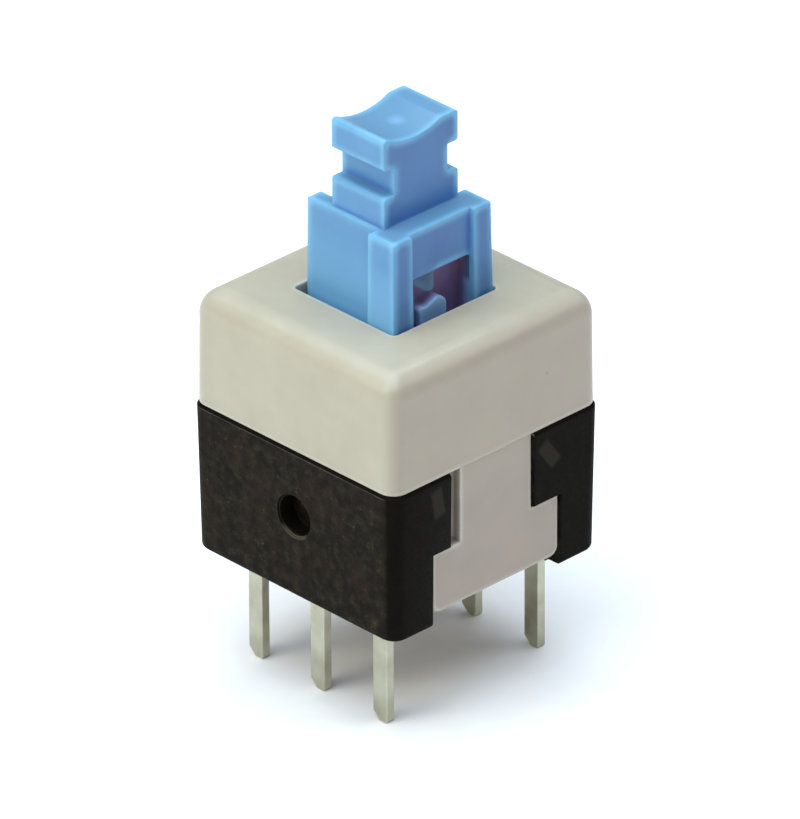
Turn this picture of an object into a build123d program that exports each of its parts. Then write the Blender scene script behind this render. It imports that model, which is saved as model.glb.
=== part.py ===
from build123d import *
import math
import os

# Self-locking push switch: two changeover poles, pressed once to latch and again to release.
# Origin at the middle of the body in the plane of the circuit board, +Z along the plunger.
# The front is -Y, where one row of terminals stands. All sizes are in millimetres.

# Driving dimensions
BASE_TOP = 8.24         # square base, measured at the seam
BASE_BOTTOM = 8.11      # the same at the board, after the mould's draft
BASE_EDGE = 0.16        # rounding of its lower edge
BASE_RIM = 0.09         # bevel at the seam
COVER_FOOT = 8.15       # square cover, measured at the seam
COVER_HEAD = 8.08       # the same at its top
CORNER = 0.50           # radius of the body's upright edges
SEAM_Z = 4.72           # where the cover sits on the base
COVER_TOP_Z = 8.35
COVER_EDGE = 0.76       # rounding of the cover's top edge
COVER_ROOM = 3.35       # half width of the space inside the cover
CEILING_Z = 7.45        # underside of the cover's top
FLOOR_Z = 0.42          # underside of the base's floor, above the board
FLOOR_TOP_Z = 1.05
HOOK_FACE = 3.25        # inner face of the hooks that hold the cover, from the middle
WALL_FACE = 2.95        # inner face of the two terminal walls, from the middle
LEG_FACE = 3.20         # inner face of the walls below the floor
LIP_FACE = 3.33         # outer face of the lips that enter the cover
LIP_TOP_Z = 5.40
NECK_Y = (-1.84, 1.43)  # edges of the narrow and of the wide hook, with the opening between them
FOOT_HALF = 2.52        # half width of the opening below the hooks
HOOK_Z = 2.34           # underside of the hooks
TAB_GAP = 0.03          # play between a cover tab and its opening
TAB_OUT = 4.00          # outer face of the cover's tabs
TAB_Z = 0.36            # lower end of the tabs
TAB_NECK_Y = -1.40      # edge of a tab's neck; beyond it the neck is thinned, up to the narrow hook
TAB_THIN = 0.26         # how much it is thinned there
SIDE_HOLE_X = 0.08      # the blind holes lie a little off the middle
SIDE_HOLE_Z = 2.62
SIDE_HOLE_D = 1.24
SIDE_HOLE_DEEP = 0.62

PITCH = 2.54            # terminals along a row
ROW = 3.0               # each row of terminals, from the middle
PIN_W = 0.56
PIN_T = 0.30            # thickness of the terminal sheet
PIN_TIP_Z = -3.40
PAD_W = 1.30            # width of a terminal inside the base
SET_BACK = 0.15         # how far the first terminal lies behind the contact face
MAKE_Z = 4.05           # height above which the first terminal is reached
BREAK_Z = 3.75          # height below which the last terminal is reached
PAD_TOP_Z = 5.30

BLOCK_TOP_Z = 11.10     # shoulder of the plunger under its head
BLOCK_HALF = 1.91       # half width of the plunger at that shoulder
BLOCK_HALF_FOOT = 2.02  # the same at the column's foot, after the draft
PLATE_X = 0.88          # edge of the proud plate on the plunger's front and back
SIDE_FACE = 1.56        # front and back faces of the plunger beyond that edge
REAR_FACE = 1.45        # its face towards -X, sunk between two corner posts
REAR_HALF = 1.08        # half width of that sunk face
OPENING_HALF = 2.02     # half width of the cover's opening
COLUMN_FOOT_Z = 4.10
CARRIER_OUT = 2.35      # outer face of the two contact carriers
CARRIER_HALF = 2.90     # half width of a contact carrier
CARRIER_TOP_Z = 7.43
HEAD_HALF_X = 1.05
HEAD_HALF_Y = 1.43
HEAD_TOP_Z = 13.85
FLANGE_Z = 12.90        # underside of the head's upper flange
WAIST_Z = 12.03         # top of its lower flange
WAIST_Y = 1.03          # half width between the flanges
DISH_DEEP = 0.24
DISH_Y = (-1.29, 0.79)  # where the dish in the head's top begins and ends

PANEL_X = 1.76          # recessed panel on the plunger's cam side
PANEL_Y = (-1.19, 1.20) # its two edges
TRACK_X = 1.25          # floor of the cam track
TRACK_TOP_Z = 9.65
TRACK_FOOT_Z = 6.85
ISLAND_X = 1.70         # face of the heart-shaped island and of the guide tooth
STEP_X = 1.46           # face of the step that keeps the pin from going back
STEP_Z = 8.26
BORE_D = 1.90           # bore for the return spring
BORE_TOP_Z = 8.00

WIRE_D = 0.35           # latch wire
WIRE_X = 2.55           # its upright leg
WIRE_Y = 0.52
WIRE_FOOT_Z = 1.40
WIRE_TIP_Z = 7.15
WIRE_END_X = 1.32
WIRE_BEND = 0.36
PIVOT_HOLE_D = 0.40

SPRING_D = 1.70         # outside of the return spring
SPRING_WIRE = 0.20
SPRING_TURNS = 6
SPRING_SIDES = 6        # flats that stand for the round of its wire
POST_D = 1.20           # post on the floor that centres the spring
POST_TOP_Z = 2.00

CLIP_T = 0.10           # sheet of the moving contacts
CLIP_HALF = 2.86        # half width of a moving contact
CLIP_Z = 4.90           # middle of its fingers when the plunger is up
CLIP_REACH = 2.83       # crown of its fingers, just short of the terminals
FINGER_W = 0.80


def block(x0, x1, y0, y1, z0, z1):
    """A plain rectangular piece of stuff between six faces, to be joined or cut away."""
    return Pos((x0 + x1) / 2, (y0 + y1) / 2, (z0 + z1) / 2) * Box(x1 - x0, y1 - y0, z1 - z0)


def drafted(low, low_z, high, high_z, radius):
    """A square block whose width changes evenly with height, its upright edges rounded or sharp."""
    height, inset = high_z - low_z, (low - high) / 2
    lying = Wedge(low, height, low, inset, inset, low - inset, low - inset)
    body = Pos(0, 0, low_z + height / 2) * Rot(90, 0, 0) * lying
    uprights = [e for e in body.edges() if abs(e.center().Z - low_z - height / 2) < 0.01]
    return fillet(uprights, radius) if radius else body


def outline(points):
    """A closed flat face from corner points."""
    return make_face(Polyline(*points, close=True))


def edges_at(part, z, reach):
    """The part's edges that lie level at height z, at least reach away from the middle."""
    found = [e for e in part.edges() if abs(e.center().Z - z) < 0.01 and e.bounding_box().size.Z < 0.02]
    return [e for e in found if max(abs(e.center().X), abs(e.center().Y)) > reach]


def tee(neck, foot, shoulder_z, bottom_z, top_z, round_by):
    """The upside-down T of the side opening and of the tab in it, in the YZ plane, foot rounded."""
    left, right = neck
    shape = [(left, top_z), (left, shoulder_z), (-foot, shoulder_z), (-foot, bottom_z),
             (foot, bottom_z), (foot, shoulder_z), (right, shoulder_z), (right, top_z)]
    face = outline([(0, y, z) for y, z in shape])
    if round_by:
        face = fillet([v for v in face.vertices() if abs(v.Z - bottom_z) < 0.01], round_by)
    return face


def base():
    """Black base: two terminal walls, their hooked corners, a floor and the lips for the cover."""
    body = drafted(BASE_BOTTOM, 0, BASE_TOP, SEAM_Z, CORNER)
    body = fillet(edges_at(body, 0, 3.0), BASE_EDGE)
    body = chamfer(edges_at(body, SEAM_Z, 3.0), BASE_RIM)
    body -= block(-HOOK_FACE, HOOK_FACE, -WALL_FACE, WALL_FACE, FLOOR_TOP_Z, SEAM_Z + 1)
    body -= block(-HOOK_FACE, HOOK_FACE, -LEG_FACE, LEG_FACE, -1, FLOOR_Z)
    opening = extrude(tee(NECK_Y, FOOT_HALF, HOOK_Z, -1, SEAM_Z + 1, 0), 1.2, dir=(1, 0, 0))
    for side in (0, 180):
        body -= Rot(0, 0, side) * Pos(HOOK_FACE, 0, 0) * opening
        body += Rot(0, 0, side) * (toe() + mirror(toe(), about=Plane.XZ))
    for side in (0, 180):
        lip = block(-2.80, 2.80, WALL_FACE, LIP_FACE, SEAM_Z - 0.5, LIP_TOP_Z)
        body += Rot(0, 0, side) * chamfer(edges_at(lip, LIP_TOP_Z, 3.2), 0.12)
    body -= side_hole(-1) + side_hole(1)
    for side in (-1, 1):
        for k in (-1, 0, 1):
            body -= terminal_room(k, side)
    post = Pos(0, 0, (FLOOR_TOP_Z + POST_TOP_Z) / 2) * Cylinder(POST_D / 2, POST_TOP_Z - FLOOR_TOP_Z)
    body += chamfer(post.edges().group_by(Axis.Z)[-1], 0.15)
    return body + pivot_block()


def toe():
    """The small sloped web that closes the lower corner of a side opening, under the tab's round."""
    leg, top, tip = FOOT_HALF + 0.1, 0.56, FOOT_HALF - 0.30
    web = outline([(0, leg, 0.14), (0, leg, top), (0, FOOT_HALF, top - 0.04), (0, tip, 0.22), (0, tip, 0.14)])
    return Pos(HOOK_FACE, 0, 0) * extrude(web, TAB_OUT - HOOK_FACE - 0.25, dir=(1, 0, 0))


def side_hole(side):
    """The blind round hole in a terminal wall, with a lead-in round its rim."""
    mouth = side * BASE_TOP / 2
    hole = Pos(SIDE_HOLE_X, mouth, SIDE_HOLE_Z) * Rot(90, 0, 0) * Cylinder(SIDE_HOLE_D / 2, 2 * SIDE_HOLE_DEEP)
    rim = Pos(SIDE_HOLE_X, mouth, SIDE_HOLE_Z) * Rot(90, 0, 0) * Cylinder(SIDE_HOLE_D / 2 + 0.05, 0.16)
    return hole + rim


def terminal_room(k, side):
    """The slot in the floor and the groove in the wall that hold one terminal."""
    x = k * PITCH
    slot = block(x - PIN_W / 2, x + PIN_W / 2, ROW - PIN_T / 2, ROW + PIN_T / 2, 0, FLOOR_TOP_Z + 0.5)
    top = BREAK_Z if k > 0 else PAD_TOP_Z
    groove = block(x - PAD_W / 2, x + PAD_W / 2, ROW - 0.4, ROW + PIN_T / 2, FLOOR_TOP_Z, top)
    if k < 0:
        back = ROW + PIN_T / 2 + SET_BACK
        groove += block(x - PAD_W / 2, x + PAD_W / 2, ROW - 0.4, back, FLOOR_TOP_Z, MAKE_Z)
    room = slot + groove
    return room if side > 0 else mirror(room, about=Plane.XZ)


def pivot_block():
    """The small bearing on the floor where the latch wire's foot turns."""
    lug = block(1.15, 2.30, WIRE_Y - 0.50, WIRE_Y + 0.50, FLOOR_TOP_Z - 0.1, 1.82)
    lug = chamfer([e for e in edges_at(lug, 1.82, 0) if e.length > 1.05], 0.15)
    hole = Pos(1.9, WIRE_Y, WIRE_FOOT_Z) * Rot(0, 90, 0) * Cylinder(PIVOT_HOLE_D / 2, 1.20)
    return lug - hole


def cover():
    """White cover: a drafted cap with a square opening and a T-shaped tab down two of its sides."""
    cap = drafted(COVER_FOOT, SEAM_Z, COVER_HEAD, COVER_TOP_Z, 0)
    cap = fillet(edges_at(cap, COVER_TOP_Z, 3.0), COVER_EDGE)
    corners = [e for e in cap.edges() if min(abs(e.center().X), abs(e.center().Y)) > 3.0]
    cap = fillet(corners, CORNER)
    cap = fillet(edges_at(cap, SEAM_Z, 3.0), 0.05)
    room = drafted(2 * COVER_ROOM, SEAM_Z - 0.01, 2 * COVER_ROOM - 0.08, CEILING_Z, 0.30)
    cap -= room
    side = OPENING_HALF
    cap -= Pos(0, 0, COVER_TOP_Z - 1) * extrude(RectangleRounded(2 * side, 2 * side, 0.15), 2.5)
    cap = chamfer([e for e in edges_at(cap, COVER_TOP_Z, 0) if abs(e.center().X) < side + 0.1
                   and abs(e.center().Y) < side + 0.1], 0.03)
    for turn in (0, 180):
        cap += Rot(0, 0, turn) * cover_tab()
    return cap


def cover_tab():
    """One tab: a neck between the hooks and a wide rounded foot that snaps in below them."""
    neck = (NECK_Y[0] + TAB_GAP, NECK_Y[1] - TAB_GAP)
    shape = tee(neck, FOOT_HALF - TAB_GAP, HOOK_Z - TAB_GAP, TAB_Z, SEAM_Z + 0.4, 0.32)
    tab = Pos(HOOK_FACE + 0.02, 0, 0) * extrude(shape, TAB_OUT - HOOK_FACE - 0.02, dir=(1, 0, 0))
    tab -= block(TAB_OUT - TAB_THIN, TAB_OUT + 1, -2, TAB_NECK_Y, HOOK_Z - TAB_GAP, SEAM_Z)
    foot_edge = [e for e in tab.edges() if abs(e.center().X - TAB_OUT) < 0.01
                 and e.center().Z < 0.80]
    return chamfer(foot_edge, 0.05)


def plunger():
    """Blue plunger: four-cornered column, I-shaped head, two contact carriers and the cam side."""
    body = drafted(2 * BLOCK_HALF_FOOT, COLUMN_FOOT_Z, 2 * BLOCK_HALF, BLOCK_TOP_Z, 0.08)
    body = fillet(edges_at(body, BLOCK_TOP_Z, 1.5), 0.06)
    body -= column_recesses()
    for side in (0, 180):
        body += Rot(0, 0, side) * carrier()
    body += island() + return_step() + guide_tooth()
    body -= Pos(0, 0, (COLUMN_FOOT_Z + BORE_TOP_Z) / 2) * Cylinder(BORE_D / 2, BORE_TOP_Z - COLUMN_FOOT_Z)
    return body + head()


def column_recesses():
    """What is hollow in the column's four sides, with the cam track in the one towards +X."""
    z0, z1 = COLUMN_FOOT_Z - 1, BLOCK_TOP_Z + 1
    cut = block(PANEL_X, 3, PANEL_Y[0], PANEL_Y[1], z0, z1)
    cut += block(-3, -REAR_FACE, -REAR_HALF, REAR_HALF, z0, z1)
    step = block(-3, PLATE_X, -3, -SIDE_FACE, z0, z1)
    cut += step + mirror(step, about=Plane.XZ)
    return cut + cam_track()


def cam_track():
    """The sunk track round the heart: wide above, drawn in below to the place where the pin rests."""
    y0, y1 = PANEL_Y
    shape = [(y0, TRACK_TOP_Z), (y0, 7.85), (-0.20, TRACK_FOOT_Z), (0.82, TRACK_FOOT_Z),
             (y1, 7.35), (y1, TRACK_TOP_Z)]
    face = outline([(TRACK_X, y, z) for y, z in shape])
    face = fillet([v for v in face.vertices() if v.Z < 8 or v.Z > 9], 0.12)
    return extrude(face, 1.0, dir=(1, 0, 0))


def island():
    """The heart that the latch pin goes round: its right lobe is high, and the pin rests left of it."""
    rim = [Line((0, 0.33, 7.95), (0, 0.33, 8.40)),
           ThreePointArc((0, 0.33, 8.40), (0, 0.22, 8.62), (0, -0.03, 8.71)),
           Line((0, -0.03, 8.71), (0, -0.30, 8.60)),
           ThreePointArc((0, -0.30, 8.60), (0, -0.46, 8.54), (0, -0.60, 8.57)),
           ThreePointArc((0, -0.60, 8.57), (0, -0.70, 8.53), (0, -0.72, 8.42)),
           Polyline((0, -0.72, 8.42), (0, -0.70, 8.00), (0, -0.20, 7.54)),
           ThreePointArc((0, -0.20, 7.54), (0, -0.12, 7.50), (0, -0.03, 7.54)),
           Line((0, -0.03, 7.54), (0, 0.33, 7.95))]
    solid = extrude(make_face(rim), ISLAND_X - TRACK_X + 0.1, dir=(1, 0, 0))
    return Pos(TRACK_X - 0.1, 0, 0) * solid


def return_step():
    """The step in the return side of the track, which the pin's end springs over on its way down."""
    low, wall = STEP_Z - 0.45, PANEL_Y[0] - 0.1
    shape = [(wall, low), (-0.65, low), (-0.65, STEP_Z - 0.10), (wall, STEP_Z + 0.10)]
    solid = extrude(outline([(0, y, z) for y, z in shape]), STEP_X - TRACK_X + 0.1, dir=(1, 0, 0))
    return Pos(TRACK_X - 0.1, 0, 0) * solid


def guide_tooth():
    """The tooth over the island, whose sloped underside turns the pin to the return side."""
    top, wall = TRACK_TOP_Z + 0.1, PANEL_Y[0] - 0.1
    rim = [Line((0, -0.16, top), (0, -0.16, 9.08)),
           ThreePointArc((0, -0.16, 9.08), (0, -0.19, 9.02), (0, -0.26, 9.00)),
           ThreePointArc((0, -0.26, 9.00), (0, -0.42, 9.02), (0, -0.54, 9.10)),
           Polyline((0, -0.54, 9.10), (0, -1.00, 9.45), (0, wall, 9.63), (0, wall, top), (0, -0.16, top))]
    solid = extrude(make_face(rim), ISLAND_X - TRACK_X + 0.1, dir=(1, 0, 0))
    return Pos(TRACK_X - 0.1, 0, 0) * solid


def carrier():
    """The slab on one side of the column that carries a moving contact and stops under the cover."""
    slab = block(-CARRIER_HALF, CARRIER_HALF, 1.5, CARRIER_OUT, 4.30, CARRIER_TOP_Z)
    slab = fillet([e for e in slab.edges().filter_by(Axis.Z) if e.center().Y > 2], 0.15)
    ledge = block(-CARRIER_HALF + 0.1, CARRIER_HALF - 0.1, CARRIER_OUT - 0.1, CARRIER_OUT + 0.22,
                  CLIP_Z + 1.0, CLIP_Z + 1.35)
    foot = block(-CARRIER_HALF + 0.1, CARRIER_HALF - 0.1, CARRIER_OUT - 0.1, CARRIER_OUT + 0.12,
                 4.30, 4.42)
    return slab + ledge + foot


def head():
    """The I-shaped head for a button cap, with its dished top, drawn from the side and extruded."""
    y, n = HEAD_HALF_Y, WAIST_Y
    top, dish = HEAD_TOP_Z, HEAD_TOP_Z - DISH_DEEP
    low, high = DISH_Y
    rim = [Line((0, -y, BLOCK_TOP_Z - 0.1), (0, y, BLOCK_TOP_Z - 0.1)),
           Polyline((0, y, BLOCK_TOP_Z - 0.1), (0, y, WAIST_Z), (0, n, WAIST_Z), (0, n, FLANGE_Z),
                    (0, y, FLANGE_Z), (0, y, top), (0, high, top)),
           ThreePointArc((0, high, top), (0, (low + high) / 2, dish), (0, low, top)),
           Polyline((0, low, top), (0, -y, top), (0, -y, FLANGE_Z), (0, -n, FLANGE_Z),
                    (0, -n, WAIST_Z), (0, -y, WAIST_Z), (0, -y, BLOCK_TOP_Z - 0.1))]
    body = Pos(-HEAD_HALF_X, 0, 0) * extrude(make_face(rim), 2 * HEAD_HALF_X, dir=(1, 0, 0))
    crest = [e for e in body.edges().filter_by(Axis.X) if abs(abs(e.center().Y) - y) < 0.01
             and e.center().Z > WAIST_Z - 0.05]
    body = fillet(crest, 0.09)
    return body


def terminal(k):
    """One flat terminal of the front row, k = -1, 0 or 1 along it: pad inside, pin through the floor."""
    x = k * PITCH
    front, back = -ROW + PIN_T / 2, -ROW - PIN_T / 2
    shift = -SET_BACK
    if k < 0:
        bend = 0.25
        shape = [(front, FLOOR_TOP_Z), (back, FLOOR_TOP_Z), (back + shift, FLOOR_TOP_Z + bend),
                 (back + shift, MAKE_Z - bend), (back, MAKE_Z), (back, PAD_TOP_Z),
                 (front, PAD_TOP_Z), (front, MAKE_Z), (front + shift, MAKE_Z - bend),
                 (front + shift, FLOOR_TOP_Z + bend)]
    else:
        top = PAD_TOP_Z if k == 0 else BREAK_Z
        shape = [(front, FLOOR_TOP_Z), (back, FLOOR_TOP_Z), (back, top), (front, top)]
    pad = extrude(outline([(0, y, z) for y, z in shape]), PAD_W, dir=(1, 0, 0))
    pad = Pos(x - PAD_W / 2, 0, 0) * pad
    low, cut = PIN_TIP_Z, 0.26
    pin = outline([(x - PIN_W / 2, 0, FLOOR_TOP_Z), (x + PIN_W / 2, 0, FLOOR_TOP_Z),
                   (x + PIN_W / 2, 0, low + 0.05), (x + PIN_W / 2 - 0.05, 0, low),
                   (x - PIN_W / 2 + cut, 0, low), (x - PIN_W / 2, 0, low + cut)])
    return pad + Pos(0, back, 0) * extrude(pin, PIN_T, dir=(0, 1, 0))


def moving_contact():
    """Spring clip on the front carrier: a back plate and three fingers that bow out to the terminals."""
    near = -CARRIER_OUT
    clip = block(-CLIP_HALF, CLIP_HALF, near - CLIP_T, near, CLIP_Z + 0.20, CLIP_Z + 0.98)
    low, high = CLIP_Z - 0.50, CLIP_Z + 0.60
    gap = 0.06
    outer = ThreePointArc((0, near - CLIP_T, high), (0, -CLIP_REACH, CLIP_Z), (0, near - CLIP_T - gap, low))
    inner = ThreePointArc((0, near - gap, low), (0, -CLIP_REACH + CLIP_T, CLIP_Z), (0, near, high))
    ends = [Line(outer @ 1, inner @ 0), Line(inner @ 1, outer @ 0)]
    bow = extrude(make_face([outer, inner] + ends), FINGER_W, dir=(1, 0, 0))
    for k in (-1, 0, 1):
        clip += Pos(k * (PITCH - 0.10) - FINGER_W / 2, 0, 0) * bow
    return clip


def latch_pin():
    """Steel wire bent at both ends: its foot turns in the base, its tip follows the cam track."""
    path = FilletPolyline((1.36, WIRE_Y, WIRE_FOOT_Z), (WIRE_X, WIRE_Y, WIRE_FOOT_Z),
                          (WIRE_X, WIRE_Y, WIRE_TIP_Z), (WIRE_END_X, WIRE_Y, WIRE_TIP_Z),
                          radius=WIRE_BEND)
    start = Plane(origin=path @ 0, z_dir=path % 0)
    return sweep(start * Circle(WIRE_D / 2), path=path)


def return_spring():
    """Coil spring between the floor and the top of the plunger's bore."""
    radius = (SPRING_D - SPRING_WIRE) / 2
    length = BORE_TOP_Z - FLOOR_TOP_Z - SPRING_WIRE - 0.04
    coil = Helix(length / SPRING_TURNS, length, radius)
    start = Plane(origin=coil @ 0, z_dir=coil % 0)
    wire = sweep(start * RegularPolygon(SPRING_WIRE / 2, SPRING_SIDES), path=coil, is_frenet=True)
    return Pos(0, 0, FLOOR_TOP_Z + SPRING_WIRE / 2 + 0.02) * wire


pieces = {
    "base": base(),
    "cover": cover(),
    "plunger": plunger(),
    "latch_pin": latch_pin(),
    "return_spring": return_spring(),
    "moving_contact_front": moving_contact(),
    "moving_contact_back": mirror(moving_contact(), about=Plane.XZ),
}
for place, name in ((-1, "left"), (0, "middle"), (1, "right")):
    pieces["terminal_front_" + name] = terminal(place)
    pieces["terminal_back_" + name] = mirror(terminal(place), about=Plane.XZ)

os.makedirs("parts", exist_ok=True)
for name, piece in pieces.items():
    export_step(piece, "parts/" + name + ".step")
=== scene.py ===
import math

import bpy
import numpy as np
from mathutils import Matrix, Vector


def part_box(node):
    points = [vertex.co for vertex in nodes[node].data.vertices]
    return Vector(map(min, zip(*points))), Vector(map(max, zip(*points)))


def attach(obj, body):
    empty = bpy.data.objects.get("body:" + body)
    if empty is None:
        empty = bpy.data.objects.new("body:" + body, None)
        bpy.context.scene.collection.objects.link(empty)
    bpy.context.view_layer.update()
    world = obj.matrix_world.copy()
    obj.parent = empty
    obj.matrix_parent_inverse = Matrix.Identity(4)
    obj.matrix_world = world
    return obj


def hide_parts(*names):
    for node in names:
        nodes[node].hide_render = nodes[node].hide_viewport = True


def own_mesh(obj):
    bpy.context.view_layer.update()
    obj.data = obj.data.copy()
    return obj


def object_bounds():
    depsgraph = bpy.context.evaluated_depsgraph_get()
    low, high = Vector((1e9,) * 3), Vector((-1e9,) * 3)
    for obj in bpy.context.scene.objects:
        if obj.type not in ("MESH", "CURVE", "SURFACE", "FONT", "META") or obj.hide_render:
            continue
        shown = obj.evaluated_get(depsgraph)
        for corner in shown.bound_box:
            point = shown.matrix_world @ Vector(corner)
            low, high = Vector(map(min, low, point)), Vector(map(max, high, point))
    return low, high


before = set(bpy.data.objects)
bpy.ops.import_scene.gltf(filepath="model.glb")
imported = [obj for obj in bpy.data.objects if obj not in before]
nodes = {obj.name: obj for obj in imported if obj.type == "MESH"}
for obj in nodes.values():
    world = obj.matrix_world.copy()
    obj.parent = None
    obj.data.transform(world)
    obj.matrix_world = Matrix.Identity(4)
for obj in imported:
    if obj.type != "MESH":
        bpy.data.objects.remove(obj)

cad_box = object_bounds()


# Terminals
# Six flat terminals, blanked from 0.3 mm brass strip that was tinned before it was cut.
# Each is pushed up through a slot in the base, and its pin is what the board is soldered to.

def linear(code):
    """A colour for a socket: each sRGB channel v of the hex code becomes ((v + 0.055) / 1.055) ** 2.4."""
    srgb = [int(code[i:i + 2], 16) / 255 for i in (1, 3, 5)]
    rgb = [v / 12.92 if v <= 0.04045 else ((v + 0.055) / 1.055) ** 2.4 for v in srgb]
    return (*rgb, 1.0)


def add(tree, kind, inputs=None, **settings):
    """Adds a node: settings are its own properties, and inputs maps a socket to a value or to its source."""
    node = tree.nodes.new(kind)
    for name, value in settings.items():
        setattr(node, name, value)
    for name, value in (inputs or {}).items():
        if isinstance(value, bpy.types.NodeSocket):
            tree.links.new(value, node.inputs[name])
        else:
            node.inputs[name].default_value = value
    return node


def start(name):
    """An empty material, its node tree, and the object's own coordinates in metres."""
    material = bpy.data.materials.new(name)
    material.use_nodes = True
    material.node_tree.nodes.clear()
    tree = material.node_tree
    place = tree.nodes.new("ShaderNodeTexCoord").outputs["Object"]
    return material, tree, place


def grain(tree, place, size_mm, detail, stretch=(1, 1, 1)):
    """Noise whose blobs are about size_mm across, longer along an axis that is stretched more than one."""
    scale = tuple(1 / s for s in stretch)
    turned = add(tree, "ShaderNodeMapping", {"Vector": place, "Scale": scale}).outputs["Vector"]
    inputs = {"Vector": turned, "Scale": 1000 / size_mm, "Detail": detail, "Roughness": 0.55}
    return add(tree, "ShaderNodeTexNoise", inputs).outputs["Fac"]


def ramp(tree, factor, stops):
    """A colour that runs through the stops, a list of (position, hex code), as factor goes from 0 to 1."""
    node = add(tree, "ShaderNodeValToRGB", {"Fac": factor})
    band = node.color_ramp
    while len(band.elements) < len(stops):
        band.elements.new(0.5)
    for element, (position, code) in zip(band.elements, stops):
        element.position = position
        element.color = linear(code)
    return node.outputs["Color"]


def spread(tree, factor, low, high, bottom=0.3, top=0.7):
    """Carries factor's stretch from bottom to top onto the values from low to high."""
    inputs = {"Value": factor, "From Min": bottom, "From Max": top, "To Min": low, "To Max": high}
    return add(tree, "ShaderNodeMapRange", inputs).outputs["Result"]


def blend_colours(tree, factor, first, second):
    """The first colour where factor is 0 and the second where it is 1."""
    inputs = {0: factor, 6: first, 7: second}
    return add(tree, "ShaderNodeMix", inputs, data_type="RGBA", clamp_factor=True).outputs[2]


def times(tree, first, second):
    """first times second, each a socket."""
    return add(tree, "ShaderNodeMath", {0: first, 1: second}, operation="MULTIPLY").outputs["Value"]


def near_edge(tree, reach_mm, inside=True, bottom=0.55, top=0.97):
    """1 at an outer edge (at an inner corner if inside is false), falling to 0 within reach_mm of it."""
    inputs = {"Distance": reach_mm / 1000}
    node = add(tree, "ShaderNodeAmbientOcclusion", inputs, inside=inside, only_local=True, samples=8)
    return spread(tree, node.outputs["AO"], 1.0, 0.0, bottom, top)


def bumps(tree, height, strength, distance_mm, normal=None):
    """The normal bent by a height map whose full swing is distance_mm deep."""
    inputs = {"Height": height, "Strength": strength, "Distance": distance_mm / 1000}
    if normal is not None:
        inputs["Normal"] = normal
    return add(tree, "ShaderNodeBump", inputs).outputs["Normal"]


def finish_with(tree, inputs):
    """Ends a material in one surface shader with the given sockets."""
    shader = add(tree, "ShaderNodeBsdfPrincipled", inputs)
    add(tree, "ShaderNodeOutputMaterial", {"Surface": shader.outputs["BSDF"]})


def soften(node, width_mm, segments=2):
    """Rounds a moulding's or a blank's sharp edges by width_mm, after welding the faces together."""
    weld = node.modifiers.new("one skin", "WELD")
    weld.merge_threshold = SAME_POINT
    flat = node.modifiers.new("whole faces", "DECIMATE")
    flat.decimate_type = "DISSOLVE"
    flat.angle_limit = ONE_FACE
    edge = node.modifiers.new("rounded edges", "BEVEL")
    edge.width = width_mm / 1000
    edge.segments = segments
    edge.limit_method = "ANGLE"
    edge.angle_limit = SHARP_EDGE
    edge.use_clamp_overlap = True
    edge.harden_normals = False


def dress(names, material):
    """Gives the named pieces their finish in place of the plain one."""
    for name in names:
        slots = nodes[name].data.materials
        slots.clear()
        slots.append(material)


SAME_POINT = 1e-7                 # metres between corners that are welded into one
ONE_FACE = math.radians(0.5)      # faces that meet flatter than this are made one
SHARP_EDGE = math.radians(35)     # edges that turn more than this are rounded
TERMINALS = [f"terminal_{row}_{spot}" for row in ("front", "back") for spot in ("left", "middle", "right")]

# Tin dulls to a warm grey with cloudy patches, and the rolls of the strip mill leave faint
# lines along each pin, so the metal is satin rather than bright, and rubbed cleaner at the edges.
tin, tree, place = start("hot tinned brass strip")
clouds = grain(tree, place, 0.9, 4)
lines = grain(tree, place, 0.05, 2, (1, 1, 30))
tint = ramp(tree, clouds, [(0.30, "#A9A691"), (0.55, "#BEBCA8"), (0.75, "#CCCAB9")])
worn = times(tree, near_edge(tree, 0.06), spread(tree, clouds, 0.1, 0.8))
tint = blend_colours(tree, worn, tint, linear("#D6D2BC"))
dull = spread(tree, clouds, 0.30, 0.48)
relief = bumps(tree, lines, 0.25, 0.004)
finish_with(tree, {"Base Color": tint, "Metallic": 1.0, "Roughness": dull, "Normal": relief})
dress(TERMINALS, tin)
for name in TERMINALS:
    soften(nodes[name], 0.03)


# Base
# One moulding in black glass-filled polyester: the two terminal walls, their hooked corners and the
# floor. It is cast in one shot, and the terminals are pressed into it.

# Each pair of heights, in metres, is a soft step.
RIM_FOOT = (0.00461, 0.00464)       # where the painted highlight on the rim under the cover begins
RIM_TOP = (0.004705, 0.004715)      # where it ends
SEAM_SHADE = (0.00471, 0.00472)       # where the painted shade of the seam above it begins
SCUFFS = (((-2.36, 3.98), (0.48, 1.05), 11), ((2.02, 3.84), (0.50, 1.10), 36))    # mm, mm, degrees
HOLE_AT = (-0.08, 0, 2.62)          # mm, with x times the sign of y, so that it fits both walls
HOLE_SIZE = (0.74, 1000, 0.74)      # mm, and through the whole base
LIP_LIT = (0.00204, 0.00222)        # the hole's lip catches light below these heights


def facing(tree):
    """The way a face looks, as three sockets: X is 1 on a face that looks towards +X, -1 towards -X."""
    normal = add(tree, "ShaderNodeTexCoord").outputs["Normal"]
    return add(tree, "ShaderNodeSeparateXYZ", {"Vector": normal}).outputs


def rounding(tree, radius_mm):
    """The surface normal, averaged over neighbours within radius_mm so that edges look rolled."""
    return add(tree, "ShaderNodeBevel", {"Radius": radius_mm / 1000}, samples=6).outputs["Normal"]


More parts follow.
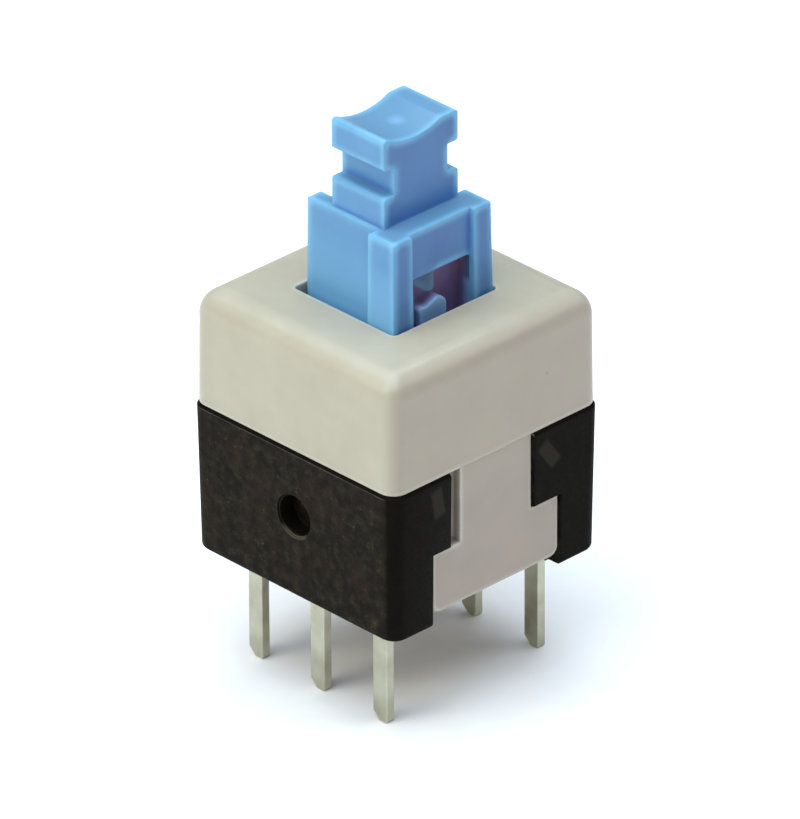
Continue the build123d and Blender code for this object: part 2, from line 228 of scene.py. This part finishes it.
def oval(tree, place, centre_mm, size_mm, top):
    """(1 - r) / top, kept within 0 and 1: r is the distance from the centre in units of size_mm per axis."""
    inputs = {"Vector": place, "Location": tuple(c / 1000 for c in centre_mm),
              "Scale": tuple(c / 1000 for c in size_mm)}
    local = add(tree, "ShaderNodeMapping", inputs, vector_type="TEXTURE").outputs["Vector"]
    ball = add(tree, "ShaderNodeTexGradient", {"Vector": local}, gradient_type="SPHERICAL").outputs["Fac"]
    return spread(tree, ball, 0.0, 1.0, 0.0, top)


def patch(tree, place, centre_mm, size_mm, turn):
    """1 in a turned rectangle on a face towards X: its soft sides in y times its soft sides in z.

    Centre and size are pairs (y, z), and each side fades out over the last quarter of its half size.
    """
    inputs = {"Vector": place, "Location": (0, centre_mm[0] / 1000, centre_mm[1] / 1000),
              "Rotation": (math.radians(turn), 0, 0), "Scale": (1, size_mm[0] / 2000, size_mm[1] / 2000)}
    local = add(tree, "ShaderNodeMapping", inputs, vector_type="TEXTURE").outputs["Vector"]
    apart = add(tree, "ShaderNodeSeparateXYZ", {"Vector": local}).outputs
    fades = []
    for axis in "YZ":
        away = add(tree, "ShaderNodeMath", {0: apart[axis]}, operation="ABSOLUTE").outputs["Value"]
        fades.append(spread(tree, away, 1.0, 0.0, 0.75, 1.0))
    return times(tree, *fades)


# The filler shows as a brown-black mottle with pale specks of glass on the two faces towards Y.
# The other faces get a darker, plainer black, which is painted shade; the rim under the cover gets a painted
# highlight, the seam above it painted shade, and the hooks have dull patches where the cover's tabs were
# sprung over them.
black, tree, place = start("moulded glass-filled black polyester")
mottle = grain(tree, place, 0.34, 5)
tinge = grain(tree, place, 0.9, 3)
fine = grain(tree, place, 0.07, 3)
cell_inputs = {"Vector": place, "Scale": 1000 / 0.20, "Randomness": 1.0}
cells = add(tree, "ShaderNodeTexVoronoi", cell_inputs, feature="F1").outputs["Distance"]
speck = times(tree, spread(tree, cells, 1.0, 0.0, 0.05, 0.18), spread(tree, mottle, 0.0, 1.0, 0.45, 0.65))
rough_skin = ramp(tree, mottle, [(0.30, "#110E0A"), (0.48, "#1B1711"), (0.62, "#28231A"), (0.75, "#342E22")])
ruddy = blend_colours(tree, spread(tree, tinge, 0.0, 0.6, 0.45, 0.65), rough_skin, linear("#261D16"))
rough_skin = blend_colours(tree, speck, ruddy, linear("#4C4538"))
# painted shade: the faces not towards Y get this darker, plainer black, for the side away from the light
painted_shade_skin = ramp(tree, mottle, [(0.3, "#0B0804"), (0.7, "#110C07")])
sideways = add(tree, "ShaderNodeMath", {0: facing(tree)["Y"]}, operation="ABSOLUTE").outputs["Value"]
faces_towards_y = spread(tree, sideways, 0.0, 1.0, 0.90, 0.98)
colour = blend_colours(tree, faces_towards_y, painted_shade_skin, rough_skin)
near_scuff, far_scuff = [patch(tree, place, *scuff) for scuff in SCUFFS]
scuffs = add(tree, "ShaderNodeMath", {0: near_scuff, 1: far_scuff}, operation="MAXIMUM").outputs["Value"]
colour = blend_colours(tree, times(tree, scuffs, spread(tree, fine, 0.6, 1.0)), colour, linear("#2C2920"))
apart = add(tree, "ShaderNodeSeparateXYZ", {"Vector": place}).outputs
level = apart["Z"]
# painted highlight: a pale band along the rim under the cover, patchy, on the faces towards Y
rim_highlight = times(tree, spread(tree, level, 0.0, 1.0, *RIM_FOOT), spread(tree, level, 1.0, 0.0, *RIM_TOP))
rim_highlight = times(tree, rim_highlight, spread(tree, tinge, 0.45, 1.0, 0.38, 0.52))
colour = blend_colours(tree, times(tree, rim_highlight, faces_towards_y), colour, linear("#8C8074"))
# painted shade: the band just under the cover's overhang is painted near black
colour = blend_colours(tree, spread(tree, level, 0.0, 1.0, *SEAM_SHADE), colour, linear("#070605"))
side = add(tree, "ShaderNodeMath", {0: apart["Y"]}, operation="SIGN").outputs["Value"]
across = times(tree, apart["X"], side)
hole_place = add(tree, "ShaderNodeCombineXYZ", {"X": across, "Z": level}).outputs["Vector"]
hole = oval(tree, hole_place, HOLE_AT, HOLE_SIZE, 0.05)
lip = times(tree, times(tree, hole, spread(tree, level, 1.0, 0.0, *LIP_LIT)), near_edge(tree, 0.12))
colour = blend_colours(tree, lip, colour, linear("#5A5448"))
height = add(tree, "ShaderNodeMath", {0: fine, 1: mottle}, operation="ADD").outputs["Value"]
relief = bumps(tree, height, 0.5, 0.02, rounding(tree, 0.05))
dry = spread(tree, fine, 0.50, 0.68)
finish_with(tree, {"Base Color": colour, "Roughness": dry, "Normal": relief, "Specular IOR Level": 0.05})
dress(["base"], black)
soften(nodes["base"], 0.05)


# Latch wire
# Hard-drawn spring steel wire, bent at both ends. Its foot is dropped into the base's bearing, and
# its tip runs in the plunger's cam track.

# Drawn wire is bright along its length with fine die lines, under a film of oil.
wire, tree, place = start("drawn spring steel wire")
streaks = grain(tree, place, 0.04, 2, (1, 1, 20))
tint = ramp(tree, streaks, [(0.3, "#8E8F92"), (0.7, "#B9BABD")])
shine = spread(tree, streaks, 0.22, 0.36)
relief = bumps(tree, streaks, 0.2, 0.003)
finish_with(tree, {"Base Color": tint, "Metallic": 1.0, "Roughness": shine, "Normal": relief})
dress(["latch_pin", "return_spring"], wire)


# Return spring
# One coil of the same wire with closed ends. It stands round the post on the base's floor and reaches
# up into the plunger's bore; in the switch it gets shorter as the plunger goes down, but this coil keeps one
# length.

SPRING_TURNS = 8            # two of them closed
SPRING_RADIUS = 0.00075     # to the middle of the wire
SPRING_WIRE = 0.0002


def coil(turns, radius, thick, bottom, top, steps=32, sides=12):
    """A tube with capped ends round a helix whose middle is (R cos t, R sin t, z).

    z climbs 1.05 wires in the first turn and in the last, and evenly between them. Each ring is half a
    wire times (cos p outwards + sin p across), with across square to the wire and to outwards.
    """
    half_wire = thick / 2
    closed = half_wire + 1.05 * thick
    t = np.linspace(0, 2 * math.pi * turns, turns * steps + 1)
    marks = [bottom + half_wire, bottom + closed, top - closed, top - half_wire]
    z = np.interp(t / (2 * math.pi), [0, 1, turns - 1, turns], marks)
    outwards = np.stack([np.cos(t), np.sin(t), 0 * t], axis=1)
    centre = radius * outwards + np.stack([0 * t, 0 * t, z], axis=1)
    along = np.gradient(centre, axis=0)
    along /= np.linalg.norm(along, axis=1, keepdims=True)
    across = np.cross(along, outwards)
    p = np.arange(sides) * 2 * math.pi / sides
    ring = np.cos(p)[None, :, None] * outwards[:, None, :] + np.sin(p)[None, :, None] * across[:, None, :]
    points = (centre[:, None, :] + half_wire * ring).reshape(-1, 3)
    i, j = np.meshgrid(np.arange(len(t) - 1) * sides, np.arange(sides), indexing="ij")
    k = (j + 1) % sides
    quads = np.stack([i + j, i + k, i + sides + k, i + sides + j], axis=-1).reshape(-1, 4)
    last = (len(t) - 1) * sides
    caps = [list(range(sides - 1, -1, -1)), list(range(last, last + sides))]
    mesh = bpy.data.meshes.new("return spring coil")
    mesh.from_pydata(points.tolist(), [], quads.tolist() + caps)
    mesh.polygons.foreach_set("use_smooth", [True] * len(quads) + [False, False])
    return mesh


spring_foot, spring_top = [corner[2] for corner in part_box("return_spring")]
spring_mesh = coil(SPRING_TURNS, SPRING_RADIUS, SPRING_WIRE, spring_foot, spring_top)
spring_mesh.materials.append(wire)
spring = bpy.data.objects.new("return_spring_coil", spring_mesh)
bpy.context.scene.collection.objects.link(spring)
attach(spring, "housing")
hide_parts("return_spring")
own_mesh(spring)


# Moving contacts
# Two clips of phosphor bronze strip, formed into three bowed fingers and clipped to the plunger.
# The fingers wipe the terminals as the plunger moves.

# The strip is an uneven copper brown with rolling lines, rubbed brighter at its edges.
bronze, tree, place = start("rolled phosphor bronze strip")
rolling = grain(tree, place, 0.05, 2, (30, 1, 1))
tint = ramp(tree, grain(tree, place, 0.6, 3), [(0.3, "#A97C4C"), (0.7, "#D3A871")])
rubbed = times(tree, near_edge(tree, 0.05), spread(tree, rolling, 0.2, 0.7))
tint = blend_colours(tree, rubbed, tint, linear("#E6C79A"))
shine = spread(tree, rolling, 0.25, 0.40)
relief = bumps(tree, rolling, 0.2, 0.003)
finish_with(tree, {"Base Color": tint, "Metallic": 1.0, "Roughness": shine, "Normal": relief})
dress(["moving_contact_front", "moving_contact_back"], bronze)


# Plunger
# One moulding in sky-blue acetal: the stepped column, the I-shaped head that a button cap
# pushes onto, and the heart cam in its side. It slides up and down in the cover's opening.

PAINTED_LIGHT_BELOW = (0.0083, 0.0104)        # the column is painted paler, painted light, most below these heights
RAISED = (0.00142, 0.00169)     # in x, from the track's floor to the faces of the island and the tooth
TOOTH = (0.00870, 0.00890)      # in z, from the island's top to the tooth above it
GREASE_ENDS = (("X", 0.00110, 0.00118), ("Y", -0.00121, -0.00119), ("Y", 0.00122, 0.00120),
               ("Z", 0.00967, 0.00965), ("X", 0.00174, 0.00172))    # axis, clean, full of grease
SINK_AT = (0.0, 0.05, 13.61)    # mm
SINK_SIZE = (0.36, 0.30, 0.30)

# Acetal is a little waxy: light goes in a tenth of a millimetre, so shade is soft. Outer edges get a painted
# pale highlight and inner corners a painted deeper blue shade. The surface is satin with faint flow marks,
# with a painted grey sheen on top, painted light low on the column and painted shade on the side towards +X.
# The cam track holds a violet-grey film of grease, which looks dark on the tooth above it; the film is
# painted paler on the track's shaded floor, and the island below the tooth is painted pale blue, both painted
# light.
blue, tree, place = start("moulded sky-blue acetal")
flow = grain(tree, place, 1.4, 3, (1, 1, 2))
fine = grain(tree, place, 0.05, 2)
apart = add(tree, "ShaderNodeSeparateXYZ", {"Vector": place}).outputs
looks = facing(tree)
plastic = ramp(tree, flow, [(0.30, "#538BBA"), (0.70, "#5C94C2")])
# painted shade: faces towards +X, the side away from the light, are painted a deeper blue
x_side_painted_shade = times(tree, spread(tree, looks["X"], 0.0, 1.0, 0.6, 0.95), spread(tree, flow, 0.6, 1.0))
plastic = blend_colours(tree, x_side_painted_shade, plastic, linear("#4269A1"))
# painted shade: inner corners are painted a deeper blue
plastic = blend_colours(tree, near_edge(tree, 0.4, False, 0.35, 0.95), plastic, linear("#4D7CC8"))
# painted sheen: faces looking up are painted a paler grey-blue
top_painted_sheen = times(tree, spread(tree, looks["Z"], 0.0, 1.0, 0.5, 0.95), spread(tree, flow, 0.7, 1.0))
plastic = blend_colours(tree, top_painted_sheen, plastic, linear("#608CA9"))
# painted light: the column's faces not towards +X are painted paler low down
low_painted_light = times(tree, spread(tree, looks["X"], 1.0, 0.0, 0.3, 0.7), spread(tree, apart["Z"], 0.9, 0.0, *PAINTED_LIGHT_BELOW))
plastic = blend_colours(tree, low_painted_light, plastic, linear("#7BB9E6"))
# painted highlight: outer edges are painted a pale cyan
edge_painted_highlight = times(tree, near_edge(tree, 0.28), spread(tree, flow, 0.45, 0.9))
plastic = blend_colours(tree, edge_painted_highlight, plastic, linear("#80C4E6"))
sink = oval(tree, place, SINK_AT, SINK_SIZE, 0.9)
plastic = blend_colours(tree, times(tree, sink, spread(tree, fine, 0.3, 0.5)), plastic, linear("#8CBBE8"))
coated = spread(tree, apart["Z"], 0.6, 0.7, *TOOTH)
grease_and_light_mask = spread(tree, apart["X"], 1.0, coated, *RAISED)
for axis, clean, full in GREASE_ENDS:
    grease_and_light_mask = times(tree, grease_and_light_mask, spread(tree, apart[axis], 0.0, 1.0, clean, full))
# grease film, painted paler on the track's shaded floor than the grease's own dark colour: painted light
grease_and_painted_light = ramp(tree, grain(tree, place, 0.5, 3), [(0.35, "#8078AA"), (0.65, "#8E6A93")])
# raised faces: the island below the tooth is painted pale blue, painted light; the tooth is dark with grease
island_light_tooth_grease = blend_colours(tree, spread(tree, apart["Z"], 0.0, 1.0, *TOOTH), linear("#93B4DE"), linear("#34445E"))
grease_and_painted_light = blend_colours(tree, spread(tree, apart["X"], 0.0, 1.0, *RAISED), grease_and_painted_light, island_light_tooth_grease)
colour = blend_colours(tree, grease_and_light_mask, plastic, grease_and_painted_light)
relief = bumps(tree, fine, 0.10, 0.01, bumps(tree, sink, 0.5, 0.03, rounding(tree, 0.12)))
satin = spread(tree, fine, 0.34, 0.46)
finish_with(tree, {"Base Color": colour, "Roughness": satin, "Normal": relief, "IOR": 1.48,
                   "Subsurface Weight": 0.25, "Subsurface Radius": (0.5, 0.8, 1.0),
                   "Subsurface Scale": 0.00012})
dress(["plunger"], blue)
soften(nodes["plunger"], 0.08, 3)


# Cover
# One moulding in white ABS: a cap with a square opening and a T-shaped tab on two sides. Each
# tab is sprung over the base's hooks until its foot snaps in below them.

TAB_Z = (0.0034, 0.0050)          # the tabs look darker below these heights
SPECK_AT = (4.05, 1.97, 6.43)     # mm, one larger speck on the side towards +X
SPECK_SIZE = (0.5, 0.06, 0.06)

# The white is slightly warm and grey, smooth and satin, with the faint cloudiness of a polished mould and a
# few tiny dark specks;
# it is darker towards the bottom, on the tabs, and the side towards +X gets a painted pinkish shade.
white, tree, place = start("moulded warm white ABS")
cloud = grain(tree, place, 1.2, 3)
fine = grain(tree, place, 0.05, 2)
plastic = ramp(tree, cloud, [(0.30, "#ADA692"), (0.70, "#B4AE9A")])
cell_inputs = {"Vector": place, "Scale": 1000 / 2.4, "Randomness": 1.0}
cells = add(tree, "ShaderNodeTexVoronoi", cell_inputs, feature="F1").outputs["Distance"]
fleck = spread(tree, cells, 0.5, 0.0, 0.010, 0.022)
large = oval(tree, place, SPECK_AT, SPECK_SIZE, 0.5)
fleck = add(tree, "ShaderNodeMath", {0: fleck, 1: large}, operation="MAXIMUM").outputs["Value"]
plastic = blend_colours(tree, fleck, plastic, linear("#857D72"))
level = add(tree, "ShaderNodeSeparateXYZ", {"Vector": place}).outputs["Z"]
# darker towards the bottom, on the tabs
plastic = blend_colours(tree, spread(tree, level, 0.75, 0.0, *TAB_Z), plastic, linear("#8A8077"))
# painted shade: faces towards +X are painted a darker pinkish grey
x_side_painted_pink_shade = times(tree, spread(tree, facing(tree)["X"], 0.0, 1.0, 0.4, 0.95), spread(tree, cloud, 0.5, 0.9))
plastic = blend_colours(tree, x_side_painted_pink_shade, plastic, linear("#A59687"))
rubbed = times(tree, near_edge(tree, 0.18), spread(tree, fine, 0.4, 0.7))
colour = blend_colours(tree, rubbed, plastic, linear("#D6D3C6"))
relief = bumps(tree, fine, 0.10, 0.01, rounding(tree, 0.06))
satin = spread(tree, fine, 0.30, 0.37)
finish_with(tree, {"Base Color": colour, "Roughness": satin, "Normal": relief, "IOR": 1.52,
                   "Subsurface Weight": 0.2, "Subsurface Radius": (1.0, 0.9, 0.8),
                   "Subsurface Scale": 0.00015})
dress(["cover"], white)
soften(nodes["cover"], 0.05)


# Studio
# A plain pale floor under the pin tips, soft panels of light from the front left, above and the
# back right, and the camera at the photograph's angle.

PIN_TIP = cad_box[0][2]
FLOOR_HALF = 3.0                      # metres
WORLD_LIGHT = 0.20
LIGHTS_AIM = Vector((0, 0, 0.006))    # about the middle of the switch
LIGHTS_AWAY = 0.20

floor_mesh = bpy.data.meshes.new("studio floor")
corners = [(a * FLOOR_HALF, b * FLOOR_HALF, PIN_TIP) for a, b in ((-1, -1), (1, -1), (1, 1), (-1, 1))]
floor_mesh.from_pydata(corners, [], [(0, 1, 2, 3)])
floor = bpy.data.objects.new("studio_floor", floor_mesh)
bpy.context.scene.collection.objects.link(floor)
paper, tree, place = start("white background paper")
fibres = grain(tree, place, 0.8, 3)
finish_with(tree, {"Base Color": ramp(tree, fibres, [(0.3, "#F5F5F4"), (0.7, "#F8F8F7")]), "Roughness": 0.9,
                   "Emission Color": linear("#FFFFFF"), "Emission Strength": 0.06})
floor_mesh.materials.append(paper)

world = bpy.data.worlds.new("studio air")
bpy.context.scene.world = world
world.use_nodes = True
air = world.node_tree.nodes["Background"].inputs
air["Color"].default_value = linear("#FFFFFF")
air["Strength"].default_value = WORLD_LIGHT


def panel(name, azimuth, elevation, size, watts, tint="#FFFFFF"):
    """A square light panel that faces the switch, with azimuth 0 in front of -Y and turning towards +X."""
    a, e = math.radians(azimuth), math.radians(elevation)
    way = Vector((math.sin(a) * math.cos(e), -math.cos(a) * math.cos(e), math.sin(e)))
    lamp = bpy.data.lights.new(name, "AREA")
    lamp.size = size
    lamp.energy = watts
    lamp.color = linear(tint)[:3]
    holder = bpy.data.objects.new(name, lamp)
    holder.location = LIGHTS_AIM + LIGHTS_AWAY * way
    holder.rotation_euler = way.to_track_quat("Z", "Y").to_euler()
    bpy.context.scene.collection.objects.link(holder)


panel("front left panel", azimuth=-18, elevation=32, size=0.11, watts=0.15, tint="#FFFAE6")
panel("top panel", azimuth=-20, elevation=85, size=0.28, watts=0.86, tint="#E2F0FF")
panel("back right panel", azimuth=141, elevation=39, size=0.10, watts=0.05)

# The camera stands 333 mm away with a long lens, turned 46 degrees from the front.
CAMERA_TURN = math.radians(45.91)
CAMERA_RISE = math.radians(29.06)
CAMERA_ROLL = math.radians(-0.262)
CAMERA_AWAY = 0.33338
LENS_MM = 532.71
AIM_RIGHT, AIM_UP, AIM_HEIGHT = 0.000115, -0.001067, 0.0056471
towards = Vector((-math.sin(CAMERA_TURN) * math.cos(CAMERA_RISE),
                  math.cos(CAMERA_TURN) * math.cos(CAMERA_RISE), -math.sin(CAMERA_RISE)))
level = Vector((math.cos(CAMERA_TURN), math.sin(CAMERA_TURN), 0))
upward = level.cross(towards)
right = math.cos(CAMERA_ROLL) * level + math.sin(CAMERA_ROLL) * upward
up = math.cos(CAMERA_ROLL) * upward - math.sin(CAMERA_ROLL) * level
eye = Vector((0, 0, AIM_HEIGHT)) + AIM_RIGHT * right + AIM_UP * up - CAMERA_AWAY * towards
lens = bpy.data.cameras.new("studio camera")
lens.sensor_fit = "HORIZONTAL"
lens.sensor_width = 36
lens.lens = LENS_MM
lens.clip_start = 0.01
camera = bpy.data.objects.new("studio camera", lens)
camera.matrix_world = Matrix.Translation(eye) @ Matrix((right, up, -towards)).transposed().to_4x4()
bpy.context.scene.collection.objects.link(camera)
bpy.context.scene.camera = camera
bpy.context.scene.view_settings.view_transform = "Standard"
